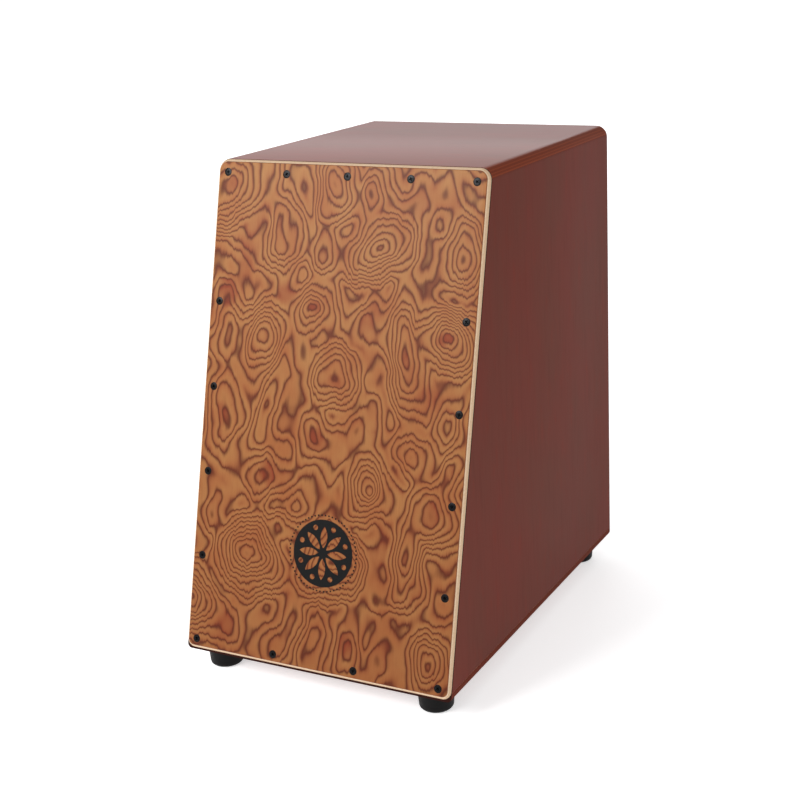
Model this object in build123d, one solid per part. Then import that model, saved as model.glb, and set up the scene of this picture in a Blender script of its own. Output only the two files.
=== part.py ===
from build123d import *
import math
import os

os.makedirs("parts", exist_ok=True)

# Cajon: a plywood box drum with a sloping playing face.
# Frame: +Z up, the playing face looks towards -Y, the player's seat is the top.
# The origin is the middle of the footprint, on the floor under the rubber feet.
# All sizes are in millimetres.

# ---- box ---------------------------------------------------------------
body_width = 298.0
body_height = 477.0  # underside to seat, without the feet
depth_bottom = 428.0  # back to the playing face, level with the underside
depth_top = 300.0  # back to the playing face, level with the seat
panel_thickness = 9.0  # plywood of the seat, base and sides
top_edge_radius = 12.0  # long edges beside the seat
bottom_edge_radius = 5.0  # long edges beside the base

# ---- playing face ------------------------------------------------------
tapa_thickness = 4.0
veneer_thickness = 0.6
tapa_edge_inset = 0.6  # the face stops this far inside the box outline
tapa_bottom_inset = 2.4  # and a little more along the base
tapa_top_radius = 11.4
tapa_bottom_radius = 8.6
tapa_bevel = 3.0
bevel_softening = 0.6  # radius on both edges of the bevel

# ---- printed roundel on the playing face ---------------------------------
roundel_ring_radius = 37.8
roundel_bead_radius = 0.9
roundel_disc_radius = 32.7
roundel_height = 119.2  # centre, measured up the slope
roundel_offset = 3.0  # centre, to the right of the middle
roundel_film = 0.1
roundel_beads = 60
petal_count = 8
petal_inner = 5.0
petal_outer = 26.0
petal_width = 7.6
seed_radius = 2.6

# ---- back --------------------------------------------------------------
back_thickness = 6.0
sound_port_radius = 57.5
sound_port_drop = 180.0  # centre, below the seat
sound_port_softening = 2.0

# ---- softwood frames inside ----------------------------------------------
front_batten_width = 18.0
front_batten_depth = 18.0
rear_batten_width = 15.0
rear_batten_depth = 15.0
corner_strip_leg = 14.0

# ---- screws that hold the playing face -----------------------------------
screw_head_radius = 4.0
screw_shank_radius = 1.75
screw_length = 20.0
screw_rim = 0.4
screw_tip = 4.0
screw_side_inset = 13.0  # outer columns, from the side of the box
screw_top_inset = 13.5  # top row, down the slope
screw_bottom_inset = 12.0  # bottom row, up the slope
top_row_count = 5
bottom_row_count = 4
side_column_count = 4
upper_gap_in_pitches = 1.5
recess_span = 4.6
recess_width = 0.95
recess_depth = 1.7

# ---- feet --------------------------------------------------------------
foot_height = 22.2
foot_top_radius = 18.5
foot_bottom_radius = 16.0
foot_rounding = 4.5
foot_inset_side = 29.0
foot_inset_front = 30.0
foot_inset_rear = 30.0
foot_floor = 7.0  # rubber between the washer and the base
foot_bore_radius = 7.2
washer_radius = 6.6
washer_thickness = 1.2
foot_screw_radius = 2.0
foot_screw_bite = 8.0  # length inside the base panel
foot_screw_head_radius = 4.2
foot_screw_head_height = 2.8

# ---- snare ---------------------------------------------------------------
snare_bar_width = 22.0
snare_bar_depth = 12.0
snare_bar_side_gap = 0.5
snare_centre = 84.0  # each set, from the middle
snare_plate_width = 44.0
snare_plate_thickness = 1.0
snare_plate_foot = 18.0
snare_plate_lip = 12.0
strand_count = 10
strand_pitch = 4.0
strand_radius = 1.1
strand_length = 112.0
strand_touch_gap = 0.3
strand_end_gap = 12.0  # strand tips to the top batten
bar_screw_radius = 2.0
bar_screw_head_radius = 4.0
bar_screw_bite = 13.0
plate_screw_radius = 1.5
plate_screw_head_radius = 2.9
plate_screw_head_height = 1.8
plate_screw_bite = 8.0
plate_screw_spacing = 28.0

# ---- fits ----------------------------------------------------------------
screw_clearance = 0.05  # radial, every pilot hole and countersink
loose_clearance = 0.25  # radial, screws through rubber, washers and steel

# ---- worked out from the sizes above -------------------------------------
slope_run = depth_bottom - depth_top
slope_length = math.hypot(body_height, slope_run)
tilt_sin = slope_run / slope_length
tilt_cos = body_height / slope_length
tilt_tan = slope_run / body_height

top_z = foot_height + body_height
inner_width = body_width - 2 * panel_thickness
middle_z = foot_height + body_height / 2

# The lowest front point of the playing face sits a little behind the line where
# its plane meets the underside, because of the inset and the bevel.
front_setback = tilt_sin * (tapa_thickness * tilt_tan + tapa_bottom_inset + tapa_bevel)
back_y = (depth_bottom - front_setback) / 2
face_plane_y = back_y - depth_bottom
cut_plane_y = face_plane_y + tapa_thickness / tilt_cos

# Slope frame: x to the right, y up the slope, z out of the playing face.
# Its z = 0 is the plane where the playing face meets the box.
slope = Plane(
    origin=(0, cut_plane_y, foot_height),
    x_dir=(1, 0, 0),
    z_dir=(0, -tilt_cos, tilt_sin),
)

reach = 4 * max(body_width, body_height, depth_bottom)


def save(name, shape):
    """Write one sub-part as its own STEP file."""
    export_step(shape, f"parts/{name}.step")


def group(solids):
    """Keep identical loose pieces together as separate solids of one node."""
    return Compound(children=list(solids))


def block(x_low, x_high, y_low, y_high, z_low, z_high):
    """A box given by its lowest and highest corners."""
    centre = ((x_low + x_high) / 2, (y_low + y_high) / 2, (z_low + z_high) / 2)
    return Pos(*centre) * Box(x_high - x_low, y_high - y_low, z_high - z_low)


def one_solid(shape):
    """The single solid that a cut or an intersection leaves."""
    solids = shape.solids()
    return solids[0] if len(solids) == 1 else Compound(children=list(solids))


def rounded_outline(width, height, top_radius, bottom_radius):
    """A rectangle centred on the origin, with one radius above and one below."""
    outline = Rectangle(width, height)
    outline = fillet(outline.vertices().group_by(Axis.Y)[-1], top_radius)
    return fillet(outline.vertices().group_by(Axis.Y)[0], bottom_radius)


# ---- screws ----------------------------------------------------------------
def flat_screw(head_radius, shank_radius, length):
    """Countersunk wood screw along -Z, its flat head level with z = 0."""
    cone_depth = head_radius - shank_radius
    profile = Polyline(
        (0, 0),
        (head_radius, 0),
        (head_radius, -screw_rim),
        (shank_radius, -screw_rim - cone_depth),
        (shank_radius, -length + screw_tip),
        (0, -length),
        close=True,
    )
    screw = revolve(Plane.XZ * make_face(profile), Axis.Z)
    slot = Pos(0, 0, -recess_depth / 2) * Box(recess_span, recess_width, recess_depth)
    return screw - slot - Rot(0, 0, 90) * slot


def flat_screw_hole(head_radius, shank_radius, length, above):
    """Countersunk pilot hole for flat_screw, open for a stretch above its head."""
    wide = head_radius + screw_clearance
    narrow = shank_radius + screw_clearance
    cone_depth = wide - narrow
    profile = Polyline(
        (0, above),
        (wide, above),
        (wide, -screw_rim),
        (narrow, -screw_rim - cone_depth),
        (narrow, -length - screw_clearance),
        (0, -length - screw_clearance),
        close=True,
    )
    return revolve(Plane.XZ * make_face(profile), Axis.Z)


def pan_screw(head_radius, head_height, shank_radius, length):
    """Pan-head screw along +Z, the underside of its head at z = 0."""
    crown = head_height / 2
    head = Pos(0, 0, -head_height / 2) * Cylinder(head_radius, head_height)
    head = fillet(head.edges().group_by(Axis.Z)[0], crown)
    shank = Pos(0, 0, length / 2) * Cylinder(shank_radius, length)
    shank = chamfer(shank.edges().group_by(Axis.Z)[-1], shank_radius / 2)
    slot_depth = head_height / 2
    slot = Pos(0, 0, -head_height + slot_depth / 2) * Box(head_radius, recess_width, slot_depth)
    return head + shank - slot - Rot(0, 0, 90) * slot


# ---- where the face screws go ----------------------------------------------
column_x = body_width / 2 - screw_side_inset
top_row = slope_length - screw_top_inset
bottom_row = screw_bottom_inset
side_pitch = (top_row - bottom_row) / (side_column_count + upper_gap_in_pitches)


def spread(count, half_span):
    """Evenly spaced places from -half_span to +half_span."""
    return [-half_span + 2 * half_span * i / (count - 1) for i in range(count)]


screw_places = [(x, top_row) for x in spread(top_row_count, column_x)]
screw_places += [(x, bottom_row) for x in spread(bottom_row_count, column_x)]
for step in range(1, side_column_count + 1):
    for x in (-column_x, column_x):
        screw_places.append((x, bottom_row + step * side_pitch))

face_screw = flat_screw(screw_head_radius, screw_shank_radius, screw_length)
face_hole = flat_screw_hole(screw_head_radius, screw_shank_radius, screw_length, tapa_thickness)
face_screws = [slope * Pos(x, y, tapa_thickness) * face_screw for x, y in screw_places]
face_holes = [slope * Pos(x, y, tapa_thickness) * face_hole for x, y in screw_places]


def drilled(shape):
    """Take the pilot holes of the face screws out of a wooden piece."""
    box = shape.bounding_box()
    near = [hole for hole in face_holes if box.overlaps(hole.bounding_box())]
    return one_solid(shape - near) if near else one_solid(shape)


# ---- the box: seat, base and sides -------------------------------------------
outline = rounded_outline(body_width, body_height, top_edge_radius, bottom_edge_radius)
in_front_of_cut = slope * Pos(0, 0, reach / 2) * Box(reach, reach, reach)
envelope = extrude(Plane.XZ * Pos(0, middle_z) * outline, amount=back_y, both=True)
envelope -= in_front_of_cut

cavity = block(-inner_width / 2, inner_width / 2, -reach, back_y, foot_height + panel_thickness,
               top_z - panel_thickness) - in_front_of_cut

top_panel = envelope & block(-reach, reach, -reach, reach, top_z - panel_thickness, reach)
bottom_panel = envelope & block(-reach, reach, -reach, reach, 0, foot_height + panel_thickness)
wall_low = foot_height + panel_thickness
wall_high = top_z - panel_thickness
side_panel_left = envelope & block(-reach, -inner_width / 2, -reach, reach, wall_low, wall_high)
side_panel_right = envelope & block(inner_width / 2, reach, -reach, reach, wall_low, wall_high)

# ---- playing face: a figured veneer on a plywood core -------------------------
tapa_width = body_width - 2 * tapa_edge_inset
tapa_height = slope_length - tapa_edge_inset - tapa_bottom_inset
tapa_middle = tapa_bottom_inset + tapa_height / 2
softening = min(bevel_softening, (tapa_thickness - tapa_bevel) / 2)

tapa = extrude(rounded_outline(tapa_width, tapa_height, tapa_top_radius, tapa_bottom_radius),
               amount=tapa_thickness)
tapa = chamfer(tapa.faces().sort_by(Axis.Z)[-1].edges(), tapa_bevel)
tapa = fillet(tapa.faces().sort_by(Axis.Z)[-1].edges(), softening)
tapa = fillet(tapa.edges().filter_by(lambda e: abs(e.center().Z - tapa_thickness + tapa_bevel) < 0.01
                                     and abs(e.bounding_box().size.Z) < 0.01), softening)
tapa = slope * Pos(0, tapa_middle, 0) * tapa
veneer_zone = slope * Pos(0, 0, tapa_thickness - veneer_thickness + reach / 2) * Box(reach, reach, reach)

tapa_veneer = drilled(tapa & veneer_zone)
tapa_core = drilled(tapa - veneer_zone)


def roundel():
    """Thin printed film: a dark disc with a knocked-out flower, in a ring of beads."""
    disc = Circle(roundel_disc_radius)
    petal_length = petal_outer - petal_inner
    bulge = petal_width / 2
    petal_edges = ThreePointArc((petal_inner, 0), (petal_inner + petal_length / 2, bulge),
                                (petal_outer, 0))
    petal_edges += ThreePointArc((petal_outer, 0), (petal_inner + petal_length / 2, -bulge),
                                 (petal_inner, 0))
    petal = make_face(petal_edges)
    for i in range(petal_count):
        disc -= Rot(0, 0, 360 * i / petal_count) * petal
        disc -= Rot(0, 0, 360 * (i + 0.5) / petal_count) * Pos(petal_outer, 0) * Circle(seed_radius)
    bead = Pos(roundel_ring_radius - roundel_bead_radius, 0) * Circle(roundel_bead_radius)
    beads = [Rot(0, 0, 360 * i / roundel_beads) * bead for i in range(roundel_beads)]
    place = slope * Pos(roundel_offset, roundel_height, tapa_thickness)
    return group(place * extrude(shape, amount=roundel_film) for shape in [disc] + beads)


# ---- back panel with its sound port ---------------------------------------------
back_inner_y = back_y - back_thickness
port_z = top_z - sound_port_drop
back_panel = block(-inner_width / 2, inner_width / 2, back_inner_y, back_y, wall_low, wall_high)
back_panel -= Pos(0, back_y, port_z) * Rot(90, 0, 0) * Cylinder(sound_port_radius, 4 * back_thickness)
port_edges = back_panel.edges().filter_by(GeomType.CIRCLE)
back_panel = fillet(port_edges.sort_by(Axis.Y)[-1], sound_port_softening)

# ---- front frame: battens behind the playing face --------------------------------
front_slab = slope * Pos(0, 0, -front_batten_depth / 2) * Box(reach, reach, front_batten_depth)
front_frame = cavity & front_slab
lower_edge = panel_thickness / tilt_cos + front_batten_width
upper_edge = slope_length - lower_edge
below_window = slope * Pos(0, lower_edge - reach / 2, 0) * Box(reach, reach, reach)
above_window = slope * Pos(0, upper_edge + reach / 2, 0) * Box(reach, reach, reach)
beside_window = inner_width / 2 - front_batten_width
uprights = front_frame - below_window - above_window

front_batten_bottom = drilled(front_frame & below_window)
front_batten_top = drilled(front_frame & above_window)
front_batten_left = uprights & block(-reach, -beside_window, -reach, reach, 0, reach)
front_batten_right = uprights & block(beside_window, reach, -reach, reach, 0, reach)

# ---- rear frame: battens that the back panel is glued to ---------------------------
rear_front_y = back_inner_y - rear_batten_depth
half = inner_width / 2
rear_low = wall_low + rear_batten_width
rear_high = wall_high - rear_batten_width
rear_batten_bottom = block(-half, half, rear_front_y, back_inner_y, wall_low, rear_low)
rear_batten_top = block(-half, half, rear_front_y, back_inner_y, rear_high, wall_high)
rear_batten_left = block(-half, -half + rear_batten_width, rear_front_y, back_inner_y, rear_low, rear_high)
rear_batten_right = block(half - rear_batten_width, half, rear_front_y, back_inner_y, rear_low, rear_high)

# ---- three-cornered glue strips along the four long inner corners ------------------
between_frames = block(-reach, reach, -reach, rear_front_y, 0, reach) - in_front_of_cut - front_slab


def corner_strip(side, level):
    """side is -1 left or 1 right, level is -1 base or 1 seat."""
    x = side * inner_width / 2
    z = wall_high if level > 0 else wall_low
    corner = Polyline((x, z), (x - side * corner_strip_leg, z), (x, z - level * corner_strip_leg),
                      close=True)
    strip = extrude(Plane.XZ * make_face(corner), amount=reach, both=True)
    return one_solid(strip & between_frames)


# ---- rubber feet, washers and screws ------------------------------------------------
foot_x = body_width / 2 - foot_inset_side
front_foot_y = face_plane_y + foot_inset_front
rear_foot_y = back_y - foot_inset_rear
foot_places = {
    "foot_front_left": (-foot_x, front_foot_y),
    "foot_front_right": (foot_x, front_foot_y),
    "foot_rear_left": (-foot_x, rear_foot_y),
    "foot_rear_right": (foot_x, rear_foot_y),
}
washer_z = foot_height - foot_floor - washer_thickness
foot_screw_length = washer_thickness + foot_floor + foot_screw_bite


def foot():
    """Tapered rubber foot with a deep bore for its screw, standing on z = 0."""
    bore_top = foot_height - foot_floor
    hole = foot_screw_radius + loose_clearance
    profile = Polyline(
        (hole, foot_height),
        (foot_top_radius, foot_height),
        (foot_bottom_radius, 0),
        (foot_bore_radius, 0),
        (foot_bore_radius, bore_top),
        (hole, bore_top),
        close=True,
    )
    body = revolve(Plane.XZ * make_face(profile), Axis.Z)
    lower_rim = body.edges().filter_by(GeomType.CIRCLE).group_by(Axis.Z)[0].sort_by(SortBy.RADIUS)[-1]
    return fillet(lower_rim, foot_rounding)


def washer():
    ring = Cylinder(washer_radius, washer_thickness)
    ring -= Cylinder(foot_screw_radius + loose_clearance, washer_thickness)
    return Pos(0, 0, washer_z + washer_thickness / 2) * ring


one_foot = foot()
one_washer = washer()
one_foot_screw = Pos(0, 0, washer_z) * pan_screw(foot_screw_head_radius, foot_screw_head_height,
                                                 foot_screw_radius, foot_screw_length)
for foot_x_place, foot_y_place in foot_places.values():
    pilot_length = foot_screw_bite + screw_clearance
    pilot = Pos(foot_x_place, foot_y_place, foot_height + pilot_length / 2)
    bottom_panel -= pilot * Cylinder(foot_screw_radius + screw_clearance, pilot_length)

# ---- snare: two sets of strands on a bar across the front frame ------------------------
strand_rise = front_batten_depth - snare_plate_thickness - 2 * strand_radius - strand_touch_gap
strand_tilt = math.asin(strand_rise / strand_length)
strand_end = upper_edge - strand_end_gap
strand_start = strand_end - strand_length * math.cos(strand_tilt)
snare_bar_middle = strand_start - snare_plate_foot / 2
bar_front = -front_batten_depth
bar_back = bar_front - snare_bar_depth
plate_front = bar_front + snare_plate_thickness
bar_screw_x = half - front_batten_width / 2
bar_length = inner_width - 2 * snare_bar_side_gap

bar_screw = flat_screw(bar_screw_head_radius, bar_screw_radius, snare_bar_depth + bar_screw_bite)
bar_screw_hole = flat_screw_hole(bar_screw_head_radius, bar_screw_radius,
                                 snare_bar_depth + bar_screw_bite, snare_bar_depth)
bar_screw_places = [slope * Pos(x, snare_bar_middle, bar_back) * Rot(180, 0, 0)
                    for x in (-bar_screw_x, bar_screw_x)]

plate_screw = pan_screw(plate_screw_head_radius, plate_screw_head_height, plate_screw_radius,
                        snare_plate_thickness + plate_screw_bite)
plate_screw_places = [slope * Pos(side * snare_centre + x, snare_bar_middle, plate_front) * Rot(180, 0, 0)
                      for side in (-1, 1) for x in (-plate_screw_spacing / 2, plate_screw_spacing / 2)]


def plate_screw_hole(radius):
    length = 2 * (snare_plate_thickness + plate_screw_bite + screw_clearance)
    return Cylinder(radius, length)


def snare_plate(side):
    """Bent steel strip: a foot flat on the bar and a lip that follows the strands."""
    start = (strand_start, bar_front)
    along = (math.cos(strand_tilt), math.sin(strand_tilt))
    across = (-along[1], along[0])
    thick = snare_plate_thickness
    bend = thick * math.tan(strand_tilt / 2)
    lip_back = (start[0] + bend + along[0] * snare_plate_lip, start[1] + along[1] * snare_plate_lip)
    lip_front = (lip_back[0] + across[0] * thick, lip_back[1] + across[1] * thick)
    profile = Polyline(
        (strand_start - snare_plate_foot, bar_front),
        (strand_start + bend, bar_front),
        lip_back,
        lip_front,
        (strand_start, plate_front),
        (strand_start - snare_plate_foot, plate_front),
        close=True,
    )
    plate = extrude(Plane.YZ * make_face(profile), amount=snare_plate_width / 2, both=True)
    plate = slope * Pos(side * snare_centre, 0, 0) * plate
    holes = [place * plate_screw_hole(plate_screw_radius + loose_clearance)
             for place in plate_screw_places]
    return one_solid(plate - holes)


def snare_wires(side):
    """One set of straight strands, from the plate's lip to just behind the face."""
    strand = Pos(0, 0, strand_length / 2) * Cylinder(strand_radius, strand_length)
    lean = Rot(-90 + math.degrees(strand_tilt), 0, 0)
    lift = strand_radius / math.cos(strand_tilt)
    half_span = strand_pitch * (strand_count - 1) / 2
    return group(slope * Pos(side * snare_centre + x, strand_start, plate_front + lift) * lean * strand
                 for x in spread(strand_count, half_span))


snare_bar = slope * Pos(0, snare_bar_middle, (bar_front + bar_back) / 2) * Box(
    bar_length, snare_bar_width, snare_bar_depth)
for place in bar_screw_places:
    snare_bar -= place * bar_screw_hole
    front_batten_left -= place * bar_screw_hole
    front_batten_right -= place * bar_screw_hole
for place in plate_screw_places:
    snare_bar -= place * plate_screw_hole(plate_screw_radius + screw_clearance)

# ---- write every piece -------------------------------------------------------------
save("tapa_veneer", tapa_veneer)
save("tapa_core", tapa_core)
save("tapa_screws", group(face_screws))
save("roundel_print", roundel())

save("top_panel", drilled(top_panel))
save("bottom_panel", drilled(bottom_panel))
save("side_panel_left", drilled(side_panel_left))
save("side_panel_right", drilled(side_panel_right))
save("back_panel", one_solid(back_panel))

save("front_batten_top", front_batten_top)
save("front_batten_bottom", front_batten_bottom)
save("front_batten_left", drilled(front_batten_left))
save("front_batten_right", drilled(front_batten_right))
save("rear_batten_top", rear_batten_top)
save("rear_batten_bottom", rear_batten_bottom)
save("rear_batten_left", rear_batten_left)
save("rear_batten_right", rear_batten_right)

save("corner_strip_top_left", corner_strip(-1, 1))
save("corner_strip_top_right", corner_strip(1, 1))
save("corner_strip_bottom_left", corner_strip(-1, -1))
save("corner_strip_bottom_right", corner_strip(1, -1))

for foot_name, (x, y) in foot_places.items():
    save(foot_name, Pos(x, y, 0) * one_foot)
save("foot_washers", group(Pos(x, y, 0) * one_washer for x, y in foot_places.values()))
save("foot_screws", group(Pos(x, y, 0) * one_foot_screw for x, y in foot_places.values()))

save("snare_bar", one_solid(snare_bar))
save("snare_bar_screws", group(place * bar_screw for place in bar_screw_places))
save("snare_plate_left", snare_plate(-1))
save("snare_plate_right", snare_plate(1))
save("snare_plate_screws", group(place * plate_screw for place in plate_screw_places))
save("snare_wires_left", snare_wires(-1))
save("snare_wires_right", snare_wires(1))
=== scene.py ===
# %% [markdown]
# # A cajon: a box drum with a sloping veneered face
#
# The player sits on this box and plays the front with both hands. Its structure comes
# ready from the frame: where every board, batten, screw and snare lies. What is left to
# make is what the eye sees: soft board edges, turned rubber feet, cross-head screws,
# coiled snare strands, and a material for every finish. All lengths are in metres.

# %% Load the frame
import math

import bpy
from mathutils import Matrix, Vector


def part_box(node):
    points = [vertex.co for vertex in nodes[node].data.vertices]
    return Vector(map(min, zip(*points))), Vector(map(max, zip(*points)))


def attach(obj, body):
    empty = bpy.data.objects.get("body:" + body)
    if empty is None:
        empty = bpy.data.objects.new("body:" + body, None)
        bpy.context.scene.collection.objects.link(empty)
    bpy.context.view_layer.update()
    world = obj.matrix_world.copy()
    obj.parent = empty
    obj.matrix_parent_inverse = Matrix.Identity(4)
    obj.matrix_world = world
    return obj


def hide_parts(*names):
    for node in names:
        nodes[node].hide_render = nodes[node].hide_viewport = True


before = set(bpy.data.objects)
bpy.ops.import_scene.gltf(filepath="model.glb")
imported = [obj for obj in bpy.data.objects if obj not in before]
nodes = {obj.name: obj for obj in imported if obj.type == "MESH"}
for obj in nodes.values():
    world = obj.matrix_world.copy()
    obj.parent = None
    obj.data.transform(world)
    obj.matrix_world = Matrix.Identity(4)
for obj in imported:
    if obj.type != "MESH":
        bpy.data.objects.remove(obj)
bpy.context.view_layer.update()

mm = 0.001
print("pieces in the frame:", len(nodes))

# %% [markdown]
# ## Measuring the box
#
# Nothing is placed by eye. The boards' own corners say how wide and deep the box is and
# how far the front leans back, so the scene follows the frame when a size changes.

# %% Main measures
seat_low, seat_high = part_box("top_panel")
base_low, base_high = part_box("bottom_panel")
side_low, side_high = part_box("side_panel_right")
half_width = side_high.x
inner_half = side_low.x
back_y = side_high.y
floor_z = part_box("foot_front_left")[0].z
lean = math.atan2(seat_low.y - base_low.y, seat_low.z - base_low.z)
print("the face leans back", round(math.degrees(lean), 2), "degrees")

# %% [markdown]
# ## A second set of axes for the sloping face
#
# The face is easiest to think of as lying flat: x to the right, y up the slope and z out
# of the wood. One matrix takes that flat drawing board into the box's own axes. Its
# origin is where the slope meets the underside, just behind the face.

# %% Slope axes
slope_origin = Vector((0, base_low.y, base_low.z))
slope_turn = math.pi / 2 - lean
slope = Matrix.Translation(slope_origin) @ Matrix.Rotation(slope_turn, 4, "X")
to_slope = slope.inverted()


def slope_points(node):
    """A node's points on the drawing board of the sloping face."""
    return [to_slope @ vertex.co for vertex in nodes[node].data.vertices]


def slope_box(node):
    """A node's lowest and highest corners on that drawing board."""
    points = slope_points(node)
    low = Vector([min(p[i] for p in points) for i in range(3)])
    high = Vector([max(p[i] for p in points) for i in range(3)])
    return low, high


core_low, core_high = slope_box("tapa_core")
veneer_low, veneer_high = slope_box("tapa_veneer")
face_z = veneer_high.z
print("face thickness in mm:", round((face_z - core_low.z) / mm, 2))

# %% [markdown]
# ## Small helpers for modelling by hand
#
# Each helper is one thing a modeller does with the mouse: add a block, select some edges,
# apply a modifier. A block is a cube of size 1, moved and stretched between two corners,
# and its place and size are then put into its mesh, so that the object itself stays at the
# origin with nothing left to undo.


# %% Adding blocks
def only(piece):
    """Make one object selected and active, and nothing else."""
    bpy.ops.object.select_all(action="DESELECT")
    piece.select_set(True)
    bpy.context.view_layer.objects.active = piece


def settle():
    """Put the active object's place, turn and size into its mesh."""
    bpy.ops.object.transform_apply(location=True, rotation=True, scale=True)


def add_block(name, low, high):
    """A box between two corners."""
    low, high = Vector(low), Vector(high)
    bpy.ops.object.select_all(action="DESELECT")
    bpy.ops.mesh.primitive_cube_add(size=1, location=(low + high) / 2, scale=high - low)
    piece = bpy.context.object
    piece.name = name
    settle()
    return piece


# %% [markdown]
# An operator acts on whatever is selected, and with no window nothing can be clicked. So a
# selection is made by a test on where a vertex, edge or face lies. It has to be set in
# object mode, after the select mode is chosen, and is there when edit mode opens again.


# %% Selecting by place
def pick(piece, kind, test):
    """Enter edit mode with just the vertices, edges or faces that pass the test."""
    only(piece)
    bpy.ops.object.mode_set(mode="EDIT")
    bpy.ops.mesh.select_mode(type=kind)
    bpy.ops.mesh.select_all(action="DESELECT")
    bpy.ops.object.mode_set(mode="OBJECT")
    mesh = piece.data
    if kind == "VERT":
        for vertex in mesh.vertices:
            vertex.select = test(vertex.co)
    elif kind == "EDGE":
        for edge in mesh.edges:
            a, b = (mesh.vertices[i].co for i in edge.vertices)
            edge.select = test(a, b)
    else:
        for face in mesh.polygons:
            face.select = test(face.center, face.normal)
    bpy.ops.object.mode_set(mode="EDIT")


def leave_edit():
    bpy.ops.object.mode_set(mode="OBJECT")


# %% [markdown]
# Modifiers are applied at once, so each piece ends as a plain mesh. A boolean needs closed
# meshes. A copy gets its own mesh, because two objects that share one would both change.


# %% Cutting, copying and joining
def modify(piece, kind, **settings):
    """Add a modifier with these settings and apply it."""
    only(piece)
    modifier = piece.modifiers.new(kind.lower(), kind)
    for key, value in settings.items():
        setattr(modifier, key, value)
    bpy.ops.object.modifier_apply(modifier=modifier.name)


def carve(piece, cutter, operation="DIFFERENCE", keep_cutter=False):
    """Cut a piece with another one, or keep only what they share."""
    modify(piece, "BOOLEAN", operation=operation, object=cutter, solver="EXACT")
    if not keep_cutter:
        bpy.data.objects.remove(cutter)


def copy_of(piece, name, matrix=None):
    """A copy with its own mesh, moved into place by a matrix."""
    twin = piece.copy()
    twin.data = piece.data.copy()
    twin.name = name
    bpy.context.scene.collection.objects.link(twin)
    if matrix is not None:
        twin.data.transform(matrix)
    return twin


def join(pieces, name):
    """Join several objects into the first one."""
    bpy.ops.object.select_all(action="DESELECT")
    for piece in pieces:
        piece.select_set(True)
    bpy.context.view_layer.objects.active = pieces[0]
    if len(pieces) > 1:
        bpy.ops.object.join()
    pieces[0].name = name
    return pieces[0]


# %% [markdown]
# No real edge is perfectly sharp, so every piece has its edges broken before it is shaded
# smooth. `finish_piece` then hands it over: it rides on the box, stands for its plain twin
# in the frame and gets its finish.


# %% Finishing touches
def tidy_normals(piece):
    """Merge doubled points and turn every face outwards."""
    pick(piece, "FACE", lambda centre, normal: True)
    bpy.ops.mesh.remove_doubles(threshold=0.002 * mm)
    bpy.ops.mesh.normals_make_consistent(inside=False)
    leave_edit()


def break_edges(piece, width, segments=2, angle=30):
    """Round every sharp edge a little, as sandpaper does."""
    modify(piece, "BEVEL", width=width, segments=segments, limit_method="ANGLE",
           angle_limit=math.radians(angle), use_clamp_overlap=True, harden_normals=False)


def bevel_picked(offset, segments=1):
    """Bevel the edges that are selected now, and leave edit mode."""
    bpy.ops.mesh.bevel(offset=offset, segments=segments, affect="EDGES", profile=0.5,
                       clamp_overlap=False)
    leave_edit()


def smooth(piece, angle=32):
    """Shade a piece smooth, and keep the edges that are sharper than the angle."""
    only(piece)
    bpy.ops.object.shade_smooth_by_angle(angle=math.radians(angle))


def finish_piece(piece, finish, stands_for):
    """Give a finished piece its material and its place in the frame."""
    piece.data.materials.clear()
    piece.data.materials.append(finish)
    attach(piece, "root")
    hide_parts(*stands_for)
    print(piece.name, len(piece.data.polygons), "faces")


# %% [markdown]
# ## Writing materials as sums
#
# A wood figure is mostly arithmetic: stretch a noise along the grain, add it to a height,
# take what is left after the decimal point. Wiring that up node by node is hard to read.
# The class below lets a shader value be written as an ordinary Python expression, and
# each operation adds its Math node.


# %% Shader arithmetic
class Value:
    """A shader value that can be added, scaled and compared like a number."""

    def __init__(self, recipe, socket):
        self.recipe = recipe
        self.socket = socket

    def math(self, operation, *others):
        return self.recipe.node("Math", {"operation": operation}, [self, *others])

    def __add__(self, other):
        return self.math("ADD", other)

    __radd__ = __add__

    def __mul__(self, other):
        return self.math("MULTIPLY", other)

    __rmul__ = __mul__

    def __sub__(self, other):
        return self.math("SUBTRACT", other)

    def __rsub__(self, other):
        return self.recipe.node("Math", {"operation": "SUBTRACT"}, [other, self])

    def __truediv__(self, other):
        return self.math("DIVIDE", other)

    def __abs__(self):
        return self.math("ABSOLUTE")

    def times_plus(self, factor, extra):
        return self.math("MULTIPLY_ADD", factor, extra)

    def exp(self):
        return self.math("EXPONENT")

    def fraction(self):
        return self.math("FRACT")

    def at_least(self, other):
        return self.math("MAXIMUM", other)

    def at_most(self, other):
        return self.math("MINIMUM", other)

    def step(self, start, end):
        """0 before start and 1 after end, with a soft change between them."""
        settings = {"interpolation_type": "SMOOTHSTEP"}
        inputs = {"Value": self, "From Min": start, "From Max": end}
        return self.recipe.node("MapRange", settings, inputs)

    def scaled(self, low, high, to_low, to_high):
        """Map low..high onto to_low..to_high in a straight line, held at both ends."""
        inputs = {"Value": self, "From Min": low, "From Max": high,
                  "To Min": to_low, "To Max": to_high}
        return self.recipe.node("MapRange", {"clamp": True}, inputs)


# %% [markdown]
# A recipe holds one material's tree and adds nodes to it from the surface's place to its
# output. Every node comes from `node`, which takes the node's type, its settings and what
# goes into its sockets. Places are read in the object's own coordinates, in metres.


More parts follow.
